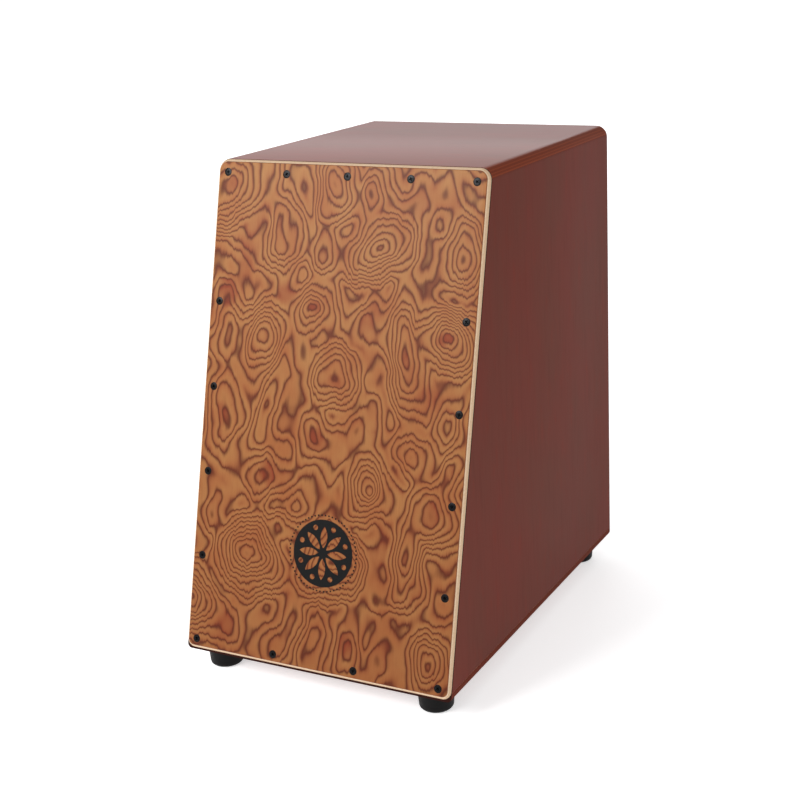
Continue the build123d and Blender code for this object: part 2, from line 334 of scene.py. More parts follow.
# %% Recipes for materials
class Recipe:
    """The node tree of one material, or of the sky, written top to bottom."""

    def __init__(self, name, sky=False):
        self.material = (bpy.data.worlds if sky else bpy.data.materials).new(name)
        self.material.use_nodes = True
        self.tree = self.material.node_tree
        self.tree.nodes.clear()
        self.output = self.tree.nodes.new("ShaderNodeOutput" + ("World" if sky else "Material"))
        self.place = self.node("TexCoord", {}, {}, "Generated" if sky else "Object")
        self.normal = self.node("TexCoord", {}, {}, "Normal")

    def node(self, kind, settings, inputs, output=0):
        """Add a node: its type, its settings, what goes in, and the output to use."""
        node = self.tree.nodes.new("ShaderNode" + kind)
        for key, value in settings.items():
            setattr(node, key, value)
        pairs = inputs.items() if isinstance(inputs, dict) else enumerate(inputs)
        for key, value in pairs:
            if isinstance(value, Value):
                self.tree.links.new(value.socket, node.inputs[key])
            else:
                node.inputs[key].default_value = value
        return Value(self, node.outputs[output])

    def noise(self, where, stretch, detail, shift):
        """Soft noise from -1 to 1, one blob for each stretch of length in x, y and z."""
        scale = [1 / length if length else 0 for length in stretch]
        away = (shift, shift * 0.7, shift * 1.3)
        mapping = {"Vector": where, "Scale": scale, "Location": away}
        spot = self.node("Mapping", {"vector_type": "POINT"}, mapping)
        inputs = {"Vector": spot, "Scale": 1.0, "Detail": detail}
        raw = self.node("TexNoise", {"noise_dimensions": "3D"}, inputs)
        return (raw - 0.5) * 3.2

    def axis(self, vector, letter):
        """One coordinate of a vector: X, Y or Z."""
        return self.node("SeparateXYZ", {}, [vector], letter)

    def blend(self, under, over, amount, mode="MIX"):
        """Lay one colour over another, by an amount from 0 to 1."""
        # a Mix node has sockets for every data type: 6, 7 and output 2 are the colours
        settings = {"data_type": "RGBA", "blend_type": mode, "clamp_factor": True}
        return self.node("Mix", settings, {0: amount, 6: under, 7: over}, 2)

    def vector(self, operation, *vectors, output="Vector"):
        """A sum on whole vectors, such as the distance between two places."""
        return self.node("VectorMath", {"operation": operation}, vectors, output)

    def resize(self, vector, factor):
        """Every part of a vector, or of a colour, times one number."""
        inputs = {"Vector": vector, "Scale": factor}
        return self.node("VectorMath", {"operation": "SCALE"}, inputs)

    def millimetres(self):
        """The object's own coordinates in millimetres."""
        return self.resize(self.place, 1 / mm)

    def bump(self, height, distance, strength=0.5):
        """Turn a height into a surface relief of that depth in metres."""
        inputs = {"Height": height, "Distance": distance, "Strength": strength}
        return self.node("Bump", {}, inputs)

    def surface(self, **sockets):
        """Finish the material with one Principled shader."""
        names = {"colour": "Base Color", "rough": "Roughness", "metal": "Metallic",
                 "relief": "Normal", "coat": "Coat Weight", "coat_rough": "Coat Roughness",
                 "specular": "Specular IOR Level", "glow": "Emission Color",
                 "glow_strength": "Emission Strength"}
        inputs = {names[key]: value for key, value in sockets.items()}
        shader = self.node("BsdfPrincipled", {}, inputs)
        self.tree.links.new(shader.socket, self.output.inputs["Surface"])
        return self.material


def paint(red, green, blue):
    """A colour given as it looks on a screen, 0 to 255, as linear light."""
    def linear(level):
        level = level / 255
        return level / 12.92 if level <= 0.04045 else ((level + 0.055) / 1.055) ** 2.4
    return (linear(red), linear(green), linear(blue), 1.0)


# %% [markdown]
# ## The figured veneer
#
# The face is a thin sheet peeled round a knotty log, so each year's growth shows as a
# contour line, as on a map of hills. Every knot is a hill: rings close together on its
# flanks and a loop at its top. The list below is that map: where each hill stands on the
# face in millimetres, how far apart its rings are across and along it, how it is turned,
# how many rings it has, and how dark its heart is.

# %% Hills of the figure
hills = [
    (-127, 469, 4.0, 5.6, -55, 11.0, 0.6),
    (-10, 471, 4.6, 5.8, 0, 7.0, 0.0),
    (27, 469, 4.6, 11.0, 3, 4.0, 0.3),
    (-65, 411, 4.4, 8.5, -3, 6.4, 0.0),
    (41, 413, 4.0, 5.4, -60, 8.6, 0.2),
    (127, 407, 4.8, 6.6, 0, 5.2, 0.0),
    (-26, 354, 5.2, 4.8, 0, 6.3, 0.9),
    (-83, 315, 4.2, 8.4, -10, 7.4, 0.0),
    (79, 309, 3.8, 9.6, 14, 7.6, 0.4),
    (118, 334, 6.2, 4.2, 0, 8.6, 1.0),
    (3, 287, 4.9, 4.9, 0, 7.4, 0.8),
    (-41, 296, 9.0, 9.6, 0, 2.9, 0.0),
    (-122, 242, 4.8, 8.0, 0, 6.6, 0.7),
    (30, 246, 4.6, 9.0, 0, 2.8, 0.2),
    (-14, 228, 6.6, 8.0, 0, 4.4, 1.0),
    (92, 223, 7.0, 5.2, 8, 5.0, 0.0),
    (-64, 189, 6.8, 8.0, 0, 4.0, 0.9),
    (50, 185, 3.8, 4.9, -3, 8.9, 0.0),
    (116, 174, 5.6, 8.6, 4, 4.8, 0.6),
    (-82, 104, 4.7, 4.5, 0, 10.0, 0.2),
    (-46, 135, 9.0, 6.0, -20, 3.4, 0.0),
    (91, 121, 4.0, 8.6, 4, 6.2, 0.2),
    (10, 111, 5.4, 5.0, 0, 8.4, 0.0),
    (-146, 55, 4.4, 5.6, 0, 7.2, 0.2),
    (-102, 30, 8.0, 10.0, 0, 2.3, 0.5),
    (33, 33, 5.6, 8.0, -6, 4.4, 0.8),
    (75, 31, 8.0, 8.6, 0, 3.0, 0.2),
    (126, 26, 4.4, 6.6, 22, 6.0, 0.2),
    (-124, 323, 8.0, 12.0, 0, 2.8, 0.0),
    (-96, 433, 6.0, 17.0, -24, 2.4, 0.3),
    (-20, 407, 13.0, 9.0, 8, 2.5, 0.2),
    (-108, 205, 5.0, 13.0, 4, 2.6, 0.0),
    (-130, 139, 8.0, 13.0, -32, 2.6, 0.2),
    (-58, 365, 7.0, 8.0, 0, 2.2, 0.6),
    (35, 349, 6.5, 11.0, -38, 2.8, 0.5),
    (-45, 19, 8.0, 11.0, 0, 2.6, 0.0),
    (106, 280, 9.0, 8.0, 0, 2.1, 0.5),
    (66, 139, 4.8, 17.0, 0, 3.4, 0.2),
    (8, 205, 7.0, 18.0, 4, 2.6, 0.0),
    (-57, 245, 6.5, 16.0, 0, 2.3, 0.0),
    (50, 271, 6.0, 20.0, 0, 2.4, 0.0),
    (-106, 399, 6.0, 16.0, 0, 2.2, 0.5),
    (-125, 363, 7.0, 9.0, 20, 1.8, 0.9),
    (103, 99, 7.0, 9.0, 0, 2.6, 0.2),
    (136, 224, 4.2, 16.0, -20, 4.4, 0.0),
    (75, 459, 12.0, 9.0, 0, 1.6, 0.3),
]
print("hills in the figure:", len(hills))

# %% [markdown]
# Each hill is a cone: one ring lower for each gap away from its middle, and blunt at the
# top. Neighbouring cones must flow into each other. Taking the highest of them all would
# leave a sharp valley, so the heights are added up as exponentials and the logarithm is
# taken at the end, which rounds every valley. A small constant in that sum sets the height
# of the open ground between the hills.
#
# The coordinates are warped first. Slow waves keep the loops from being true ellipses, and
# fine waves that run with the fibres push the lines up and down, so level lines are ragged
# and upright ones clean.


# %% Veneer figure
def board_place(recipe):
    """Millimetres on the sloping drawing board, from the object's own coordinates."""
    inputs = {"Vector": recipe.place, "Location": slope_origin,
              "Rotation": (slope_turn, 0, 0), "Scale": (mm, mm, mm)}
    return recipe.node("Mapping", {"vector_type": "TEXTURE"}, inputs)


def figure(recipe, board):
    """The height of the figure in rings, and how much of a dark heart shows."""
    sharpness = 1.8
    blunt = 1.1
    open_ground = 0.07
    flat = recipe.vector("MULTIPLY", board, (1, 1, 0))
    across = recipe.noise(flat, (26, 30, 0), 1.5, 11) * 3.2
    along = recipe.noise(flat, (26, 30, 0), 1.5, 43) * 4.0
    ragged = recipe.noise(flat, (1.9, 26, 0), 1.5, 71) * 1.2
    ragged = ragged + recipe.noise(flat, (5.5, 40, 0), 0, 87)
    push = recipe.node("CombineXYZ", {}, [across, along + ragged])
    warped = recipe.vector("ADD", flat, push)
    total = open_ground
    heart = 0.0
    for x, y, gap_across, gap_along, turn, rings, dark in hills:
        turn = math.radians(turn)
        offset = recipe.vector("SUBTRACT", warped, (x, y, 0))
        across_axis = (math.cos(turn) / gap_across, math.sin(turn) / gap_across, 0)
        along_axis = (-math.sin(turn) / gap_along, math.cos(turn) / gap_along, 0)
        side = recipe.vector("DOT_PRODUCT", offset, across_axis, output="Value")
        rise = recipe.vector("DOT_PRODUCT", offset, along_axis, output="Value")
        reach = recipe.node("CombineXYZ", {}, [side, rise, blunt])
        away = recipe.vector("LENGTH", reach, output="Value")
        total = away.times_plus(-sharpness, sharpness * rings).exp() + total
        if dark:
            heart = away.scaled(1.3, 2.1, dark, 0.0) + heart
    slow = recipe.noise(warped, (44, 70, 0), 1.5, 23) * 3.2
    height = total.math("LOGARITHM", math.e) / sharpness + slow
    return height, heart, flat


# %% [markdown]
# The part of the height after the decimal point runs from 0 to 1 between two lines. Near
# either end lies the dark line itself, and just past 0 the wood is rusty and fades to tan.
# Fibres and pores go under all of it. The upper face catches more light than the lower, so the
# whole is multiplied by a tint that grows downwards: painted shade, darker and warmer below.


# %% Veneer colours
def veneer_finish():
    line_width = 0.165
    line_strength = 0.84
    recipe = Recipe("figured_veneer")
    board = board_place(recipe)
    height, heart, flat = figure(recipe, board)
    part = height.fraction()
    near = part.at_most(1 - part)
    line = (near * near * (-1 / line_width ** 2)).exp()
    halo = (1 - part * 1.4).at_least(0)
    smudge = recipe.noise(flat, (9, 16, 0), 2, 131).step(0.2, 1.0)
    rust = (halo * halo * 0.75 + smudge * halo * 0.5 + heart * 0.8).at_most(1)
    blotch = recipe.noise(flat, (28, 38, 0), 2, 151).step(-0.9, 1.1)
    fibre = recipe.noise(flat, (0.55, 22, 0), 2, 171)
    pores = recipe.noise(flat, (0.35, 5.5, 0), 1, 191).step(0.75, 1.15)

    tan = recipe.blend(paint(160, 112, 64), paint(150, 91, 48), blotch)
    tan = recipe.blend(tan, paint(132, 74, 40), fibre.scaled(-1, 1.2, 0, 0.36))
    tan = recipe.blend(tan, paint(110, 58, 34), pores * 0.35)
    wood = recipe.blend(tan, paint(126, 54, 26), rust)
    wood = recipe.blend(wood, paint(80, 29, 7), line * line_strength)

    # painted shade: the face is darker and warmer towards the bottom, where less light falls
    painted_shade_tint = (0.81, 0.703, 0.657, 1.0)
    painted_shade_downwards = recipe.axis(board, "Y").scaled(0, core_high.y / mm, 1.0, 0.0)
    wood = recipe.blend(wood, painted_shade_tint, painted_shade_downwards, "MULTIPLY")
    top = face_z / mm
    cut_edge = recipe.axis(board, "Z").scaled(top - 0.12, top - 0.03, 1.0, 0.0)
    wood = recipe.blend(wood, paint(128, 78, 52), cut_edge * 0.8)
    relief = recipe.bump(fibre * 0.5 - pores, 0.03 * mm)
    rough = fibre.scaled(-1, 1, 0.36, 0.44)
    return recipe.surface(colour=wood, rough=rough, relief=relief, specular=0.14)


figured_veneer = veneer_finish()
print("nodes in the veneer:", len(figured_veneer.node_tree.nodes))

# %% [markdown]
# ## Pale plywood edge of the face
#
# Under the veneer lies a sheet of three plies. Only its bevelled edge shows, as a pale band
# all round the face. The middle ply runs across, so its end grain is a touch darker and the
# glue lines beside it are thin and brown.


# %% Face plywood material
def face_plywood_finish():
    recipe = Recipe("face_plywood")
    board = board_place(recipe)
    core_depth = (core_high.z - core_low.z) / mm
    ply = core_depth / 3
    from_middle = abs(recipe.axis(board, "Z") - core_depth / 2)
    middle = from_middle.step(ply * 0.55, ply * 0.45)
    glue = abs(from_middle - ply / 2).step(0.13, 0.03)
    grain = recipe.noise(board, (2.2, 2.2, 0.5), 3, 5)
    flecks = recipe.noise(board, (0.5, 0.5, 0.25), 1, 17).step(0.5, 1.2)
    wood = recipe.blend(paint(216, 190, 158), paint(197, 160, 122), grain.step(-0.6, 1.3))
    wood = recipe.blend(wood, paint(188, 151, 115), middle * 0.45)
    wood = recipe.blend(wood, paint(150, 104, 72), glue * 0.45)
    wood = recipe.blend(wood, paint(168, 122, 84), flecks * 0.3)
    relief = recipe.bump(grain - glue - flecks, 0.04 * mm)
    rough = grain.scaled(-1, 1, 0.42, 0.52)
    return recipe.surface(colour=wood, rough=rough, relief=relief)


face_plywood = face_plywood_finish()
print("nodes in the face plywood:", len(face_plywood.node_tree.nodes))

# %% [markdown]
# ## Stained plywood of the box
#
# The boards are plywood, stained a dark red-brown and lacquered to a satin. Three things
# make them read as wood. The face grain runs one way, up the sides and across the seat.
# Where a board is cut or rounded, its plies show as stripes, the end-grain ones drinking
# more stain. And the inside was never stained, so it stays pale. Each board needs to know
# which way its thickness, its grain and its inner face lie.
#
# The plies come first, counted from the inner face. What is left of the count after the
# decimal point tells how far a point lies from a glue seam, and half the count tells the
# long-grain plies from the end-grain ones.


# %% Plies on a cut edge
def along_grain(grain, length, width):
    """A noise's stretch: long on the grain's axis and short on the other two."""
    return [length if letter == grain else width for letter in "XYZ"]


def ply_stripes(recipe, place, thick, outer, inner):
    """The colour of a cut edge, and where its glue seams run."""
    plies = 7
    outward = 1 if outer > inner else -1
    depth = recipe.axis(place, thick) * outward - outward * inner / mm
    count = depth * (plies * mm / abs(outer - inner))
    band = (count * 0.5).fraction().step(0.49, 0.51)
    seam = abs(count.fraction() - 0.5).step(0.40, 0.47)
    end_grain = recipe.noise(place, (0.7, 0.7, 0.7), 2, 61)
    colour = recipe.blend(paint(134, 64, 42), paint(120, 56, 38), band)
    colour = recipe.blend(colour, paint(84, 38, 28), seam * 0.4)
    colour = recipe.blend(colour, paint(92, 42, 30), end_grain.step(0.2, 1.2) * 0.3)
    return colour, seam


# %% [markdown]
# A point's own normal says what it belongs to. Where it leans away from the board's
# thickness, the surface is rounded or cut and shows plies. Where it points inwards, the
# wood is raw. Where it points to the front, it is the cut that the playing face lies on, and
# there the colour is painted shade, dark as under the face. The lacquer is a clear coat,
# thinner on the edges and missing on the raw wood.


# %% Stained plywood material
def stained_finish(name, thick, grain, outer, inner, tone, coat, edge_show):
    """thick and grain are axis letters; outer and inner are the faces' places on thick."""
    recipe = Recipe(name)
    place = recipe.millimetres()
    figure_lines = recipe.noise(place, along_grain(grain, 46, 2.0), 3, 7)
    fibre = recipe.noise(place, along_grain(grain, 18, 0.42), 2, 19)
    mottle = recipe.noise(place, along_grain(grain, 120, 55), 3, 31)
    patches = recipe.noise(place, along_grain(grain, 34, 10), 3, 47)
    pores = fibre.step(0.55, 1.3)

    stain_and_painted_light = recipe.blend(paint(105, 52, 44), paint(99, 55, 46), mottle.step(-0.8, 0.8))
    stain_and_painted_light = recipe.blend(stain_and_painted_light, paint(118, 48, 38), patches.step(0.0, 1.3) * 0.55)
    stain_and_painted_light = recipe.blend(stain_and_painted_light, paint(82, 42, 35), figure_lines.step(-0.3, 1.5) * 0.5)
    stain_and_painted_light = recipe.blend(stain_and_painted_light, paint(64, 30, 24), pores * 0.3)
    # painted light: each board's stain is scaled by its tone to the light that board gets
    stain_and_painted_light = recipe.resize(stain_and_painted_light, tone)

    facing = recipe.axis(recipe.normal, thick)
    edge = abs(facing).step(0.985, 0.88)
    stripes, seam = ply_stripes(recipe, place, thick, outer, inner)
    # painted shade: on boards that get less light the stripes are painted back towards the stain
    stripes = recipe.blend(stripes, stain_and_painted_light, 1.0 - edge_show)
    stain_and_painted_light = recipe.blend(stain_and_painted_light, stripes, edge)
    # painted shade: the cut faces under the playing face are painted dark, as the shade there
    painted_shade_front_cut = recipe.axis(recipe.normal, "Y").step(-0.85, -0.93)
    stain_and_painted_light = recipe.blend(stain_and_painted_light, paint(48, 24, 20), painted_shade_front_cut)

    raw = recipe.blend(paint(205, 170, 128), paint(184, 144, 102), figure_lines.step(-1, 1.2))
    raw = recipe.blend(raw, paint(150, 110, 74), pores * 0.35)
    inside = (facing * (-1 if outer > inner else 1)).step(0.8, 0.95)
    wood = recipe.blend(stain_and_painted_light, raw, inside)

    rough = (patches.scaled(-1.2, 1.2, 0.30, 0.38) + pores * 0.06).at_least(0.2) + inside * 0.3
    height = figure_lines * 0.5 - pores * 0.7 - seam * edge
    relief = recipe.bump(height, 0.035 * mm, strength=0.6)
    lacquer = (1 - (edge * 0.7).at_least(inside)) * coat
    return recipe.surface(colour=wood, rough=rough, relief=relief, specular=0.0,
                          coat=lacquer, coat_rough=0.3)


# %% [markdown]
# The seat takes the light from above, so its stain is painted brightest and its stripes
# painted to show best, as painted light, and it has the thickest coat. The other boards are
# a quiet satin, with their stain and stripes painted darker as painted shade.

# %% Stained boards
back_low, back_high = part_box("back_panel")
# tone and edge_show paint in each board's light: the seat brightest, the base darkest
seat_finish = stained_finish("stained_plywood_seat", "Z", "X", seat_high.z, seat_low.z,
                             tone=1.68, coat=0.43, edge_show=1.0)
base_finish = stained_finish("stained_plywood_base", "Z", "Y", base_low.z, base_high.z,
                             tone=0.9, coat=0.1, edge_show=0.25)
upright = {"tone": 1.08, "coat": 0.1, "edge_show": 0.4}
right_finish = stained_finish("stained_plywood_right", "X", "Z", half_width, inner_half,
                              **upright)
left_finish = stained_finish("stained_plywood_left", "X", "Z", -half_width, -inner_half,
                             **upright)
back_finish = stained_finish("stained_plywood_back", "Y", "Z", back_high.y, back_low.y,
                             **upright)
print("nodes in a stained board:", len(seat_finish.node_tree.nodes))

# %% [markdown]
# ## The small finishes
#
# Planed softwood and beech stay bare. Their growth rings are a few millimetres apart: pale
# early wood deepens slowly to late wood, then breaks off at the next winter. The rings run
# along the stick, so they are counted across the two other axes.


# %% Bare woods
def bare_wood(name, light, dark, ring_gap, grain):
    recipe = Recipe(name)
    place = recipe.millimetres()
    wander = recipe.noise(place, along_grain(grain, 140, 22), 2, 3)
    fibre = recipe.noise(place, along_grain(grain, 20, 0.5), 2, 9)
    first, second = [letter for letter in "XYZ" if letter != grain]
    across = recipe.axis(place, first) + recipe.axis(place, second) * 0.45
    ring = (across / ring_gap + wander * 1.6).fraction()
    late = ring.step(0.45, 0.95) * (1 - ring.step(0.96, 1.0))
    wood = recipe.blend(light, dark, late * 0.7)
    wood = recipe.blend(wood, dark, fibre.step(0.2, 1.4) * 0.35)
    relief = recipe.bump(fibre - late * 0.5, 0.05 * mm)
    return recipe.surface(colour=wood, rough=fibre.scaled(-1, 1, 0.6, 0.74), relief=relief)


pine_light, pine_dark, pine_rings = paint(222, 190, 140), paint(190, 142, 90), 3.4
softwood_across = bare_wood("softwood_across", pine_light, pine_dark, pine_rings, "X")
softwood_upright = bare_wood("softwood_upright", pine_light, pine_dark, pine_rings, "Z")
softwood_deep = bare_wood("softwood_deep", pine_light, pine_dark, pine_rings, "Y")
beech = bare_wood("beech", paint(206, 164, 120), paint(176, 128, 88), 2.1, "X")
print("materials so far:", len(bpy.data.materials))

# %% [markdown]
# The snares and their fittings are bright steel with fine streaks where they were drawn or
# rolled. The face screws are blackened, and darkest down in their recesses, where little
# light comes.


# %% Metals
def metal_finish(name, bright, dull, rough_low, rough_high, streak, shade_below=None):
    """shade_below is a height on the slope, in millimetres, below which it is dark."""
    recipe = Recipe(name)
    place = recipe.millimetres()
    cloud = recipe.noise(place, (3.5, 3.5, 3.5), 3, 2)
    line = recipe.noise(place, streak, 2, 14)
    colour = recipe.blend(bright, dull, cloud.step(-0.8, 1.0))
    if shade_below is not None:
        depth = recipe.axis(board_place(recipe), "Z")
        shade = depth.step(shade_below, shade_below - 0.3)
        colour = recipe.blend(colour, paint(12, 12, 12), shade)
    relief = recipe.bump(line, 0.01 * mm)
    rough = (cloud + line * 0.5).scaled(-1.2, 1.2, rough_low, rough_high)
    return recipe.surface(colour=colour, metal=1.0, rough=rough, relief=relief)


black_steel = metal_finish("black_screws", paint(32, 32, 33), paint(23, 23, 24),
                           0.28, 0.36, (0.3, 0.3, 0.3), shade_below=face_z / mm - 0.1)
zinc_steel = metal_finish("zinc_steel", paint(200, 200, 196), paint(168, 168, 160),
                          0.24, 0.42, (6, 0.25, 0.25))
wire_steel = metal_finish("snare_steel", paint(206, 204, 200), paint(176, 174, 168),
                          0.18, 0.34, (2, 2, 0.1))
print("materials so far:", len(bpy.data.materials))

# %% [markdown]
# The feet are moulded rubber: a fine grain, and some dust in the seven millimetres next to
# the floor. The roundel is printed ink, which lets a little of the wood's fibre through.


# %% Rubber and ink
def rubber_finish():
    recipe = Recipe("black_rubber")
    place = recipe.millimetres()
    grain = recipe.noise(place, (0.35, 0.35, 0.35), 2, 4)
    dust = recipe.noise(place, (7, 7, 4), 4, 8)
    low = recipe.axis(place, "Z").scaled(0, 7, 1.0, 0.0)
    colour = recipe.blend(paint(9, 8, 8), paint(15, 14, 14), dust.step(-0.6, 1.2))
    colour = recipe.blend(colour, paint(42, 41, 40), dust.step(0.3, 1.4) * low * 0.4)
    relief = recipe.bump(grain, 0.05 * mm)
    rough = dust.scaled(-1, 1, 0.46, 0.62)
    return recipe.surface(colour=colour, rough=rough, relief=relief, specular=0.12)


def ink_finish():
    recipe = Recipe("black_print")
    board = board_place(recipe)
    fibre = recipe.noise(board, (0.55, 22, 1), 2, 171)
    speck = recipe.noise(board, (0.6, 0.9, 1), 2, 23)
    colour = recipe.blend(paint(13, 13, 13), paint(26, 21, 18), fibre.step(0.3, 1.6) * 0.6)
    colour = recipe.blend(colour, paint(74, 50, 36), speck.step(1.05, 1.5) * 0.4)
    relief = recipe.bump(fibre, 0.02 * mm)
    rough = fibre.scaled(-1, 1, 0.42, 0.52)
    return recipe.surface(colour=colour, rough=rough, relief=relief, specular=0.1)


rubber = rubber_finish()
ink = ink_finish()
print("materials made:", len(bpy.data.materials))

# %% [markdown]
# ## One block for the outside of the box
#
# Seat, base and sides share one outline: a block with a leaning front and four rounded long
# edges. It is made once, and each board is what that block shares with a plain slab, just
# as a joiner glues the box up first and rounds its edges afterwards. The lines between the
# boards then run true across the rounding.


# %% Outline of the box
def flat_half(node, height):
    """Half the width of a node's level face at a height."""
    return max(v.co.x for v in nodes[node].data.vertices if abs(v.co.z - height) < 0.01 * mm)


seat_radius = half_width - flat_half("top_panel", seat_high.z)
base_radius = half_width - flat_half("bottom_panel", base_low.z)
front_shift = (seat_high.z - base_low.z) * math.tan(lean)
tiny = 0.01 * mm

outline = add_block("outline", (-half_width, base_low.y, base_low.z),
                    (half_width, back_y, seat_high.z))
pick(outline, "VERT", lambda p: p.y < base_low.y + tiny and p.z > seat_high.z - tiny)
bpy.ops.transform.translate(value=(0, front_shift, 0))
leave_edit()
for level, radius in ((seat_high.z, seat_radius), (base_low.z, base_radius)):
    pick(outline, "EDGE", lambda a, b: abs(a.z - level) < tiny and abs(b.z - level) < tiny
         and abs(a.x - b.x) < tiny and abs(a.x) > half_width - tiny)
    bevel_picked(radius, 18)
print("long edges rounded, in mm:", round(seat_radius / mm, 2), round(base_radius / mm, 2))

# %% [markdown]
# Each board is then cut from the outline and its sharp edges are broken by a sixth of a
# millimetre. That hairline round is what catches the light along a glued joint.

# %% Seat, base and sides
far = 1.0
edge_break = 0.16 * mm
boards = [
    ("seat_board", "top_panel", seat_finish, (-far, -far, seat_low.z), (far, far, far)),
    ("base_board", "bottom_panel", base_finish, (-far, -far, 0), (far, far, base_high.z)),
    ("side_board_left", "side_panel_left", left_finish,
     (-far, -far, base_high.z), (-inner_half, far, seat_low.z)),
    ("side_board_right", "side_panel_right", right_finish,
     (inner_half, -far, base_high.z), (far, far, seat_low.z)),
]
for name, node, finish, low, high in boards:
    board = copy_of(outline, name)
    carve(board, add_block("slab", low, high), "INTERSECT")
    break_edges(board, edge_break)
    smooth(board)
    finish_piece(board, finish, [node])
bpy.data.objects.remove(outline)

# %% [markdown]
# ## Back board with its sound port
#
# The back is a flat board set in between the others. The port is cut with a cylinder, and
# its outer rim is rounded so that a hand can reach in without catching.

# %% Back board
port_rim = 2.0 * mm
back_points = [vertex.co for vertex in nodes["back_panel"].data.vertices]
port_points = [p for p in back_points if abs(p.x) < inner_half - tiny]
port_z = (max(p.z for p in port_points) + min(p.z for p in port_points)) / 2


def from_port(p):
    """A point's distance from the port's axis."""
    return Vector((p.x, p.z - port_z)).length


port_radius = max(from_port(p) for p in port_points if p.y < back_low.y + tiny)
back_board = add_block("back_board", back_low, back_high)
bpy.ops.mesh.primitive_cylinder_add(vertices=128, radius=port_radius, depth=far,
                                    location=(0, back_y, port_z), rotation=(math.pi / 2, 0, 0))
port_cutter = bpy.context.object
settle()
carve(back_board, port_cutter)
pick(back_board, "EDGE", lambda a, b: min(a.y, b.y) > back_high.y - tiny
     and all(abs(from_port(p) - port_radius) < 0.2 * mm for p in (a, b)))
bevel_picked(port_rim, 8)
break_edges(back_board, edge_break)
smooth(back_board)
finish_piece(back_board, back_finish, ["back_panel"])
print("sound port, radius and height in mm:", round(port_radius / mm, 2), round(port_z / mm, 1))

# %% [markdown]
# ## The playing face
#
# The face is drawn flat on the slope's own axes: a plate with two corner sizes and a
# bevelled edge. A bisect at the glue line parts it into the thin veneer and the plywood
# core, so the bevel runs through both. Countersinks for the screws are cut last.

# %% Face plate
edge_bevel = 3.0 * mm
bevel_round = 0.25 * mm
glue_line = veneer_low.z
half_face = core_high.x


def straight_half(points, level):
    """Half the straight stretch of the face's edge at that height up the slope."""
    return max(p.x for p in points if abs(p.y - level) < 0.02 * mm)


core_points = slope_points("tapa_core")
upper_radius = half_face - straight_half(core_points, core_high.y)
lower_radius = half_face - straight_half(core_points, core_low.y)

plate = add_block("plate", (-half_face, core_low.y, 0), (half_face, core_high.y, face_z))
for level, radius in ((core_high.y, upper_radius), (core_low.y, lower_radius)):
    pick(plate, "EDGE", lambda a, b: abs(a.y - level) < tiny and abs(b.y - level) < tiny
         and abs(a.x - b.x) < tiny and abs(a.z - b.z) > tiny)
    bevel_picked(radius, 20)
pick(plate, "EDGE", lambda a, b: min(a.z, b.z) > face_z - tiny)
bevel_picked(edge_bevel)
break_edges(plate, bevel_round, segments=3, angle=25)
print("face plate:", len(plate.data.polygons), "faces")

# %% [markdown]
# ## Screws with a cross recess
#
# One screw is turned like a spindle: a ring is extruded again and again, each time moved
# down and made narrower, from the flat head to the point. The recess is a cross whose
# walls taper inwards, because a driver's tip does.


# %% Turning and recess helpers
def turned(name, profile, sides=48):
    """A turned shape from (radius, height) pairs; a radius of 0 closes an end."""
    rings = [pair for pair in profile if pair[0] > 0]
    bpy.ops.object.select_all(action="DESELECT")
    bpy.ops.mesh.primitive_circle_add(vertices=sides, radius=rings[0][0], fill_type="NOTHING",
                                      location=(0, 0, rings[0][1]))
    piece = bpy.context.object
    piece.name = name
    settle()
    pick(piece, "EDGE", lambda a, b: True)
    if profile[0][0] == 0:
        bpy.ops.mesh.edge_face_add()
        leave_edit()
        pick(piece, "EDGE", lambda a, b: True)
    for (radius, height), (next_radius, next_height) in zip(rings, rings[1:]):
        bpy.ops.mesh.extrude_edges_move(
            TRANSFORM_OT_translate={"value": (0, 0, next_height - height)})
        ratio = next_radius / radius
        bpy.ops.transform.resize(value=(ratio, ratio, 1), center_override=(0, 0, next_height))
    if profile[-1][0] == 0:
        bpy.ops.mesh.edge_face_add()
    leave_edit()
    tidy_normals(piece)
    return piece


def cross_cutter(span, width, depth, top):
    """Two crossed wedges, wide at the top and narrow below."""
    arms = []
    for x, y in ((span / 2, width / 2), (width / 2, span / 2)):
        arm = add_block("arm", (-x, -y, top - depth), (x, y, top + depth))
        pick(arm, "FACE", lambda centre, normal: normal.z < -0.9)
        bpy.ops.transform.resize(value=(0.55, 0.55, 1), center_override=(0, 0, top - depth))
        leave_edit()
        arms.append(arm)
    carve(arms[0], arms[1], "UNION")
    return arms[0]


# %% [markdown]
# The screws' places come from the frame: the group of screws is split into its loose
# parts by position, and the middle of each head is where a finer screw goes. Each is
# turned to another angle, because nobody stops driving a screw at a chosen one.


# %% Face screws
def cluster_centres(points, gap):
    """Middles of clumps of points that lie further apart than a gap."""
    clumps = []
    for point in points:
        for clump in clumps:
            if (clump[0] - point).length < gap:
                clump.append(point)
                break
        else:
            clumps.append([point])
    return [Vector([(max(p[i] for p in clump) + min(p[i] for p in clump)) / 2 for i in range(3)])
            for clump in clumps]


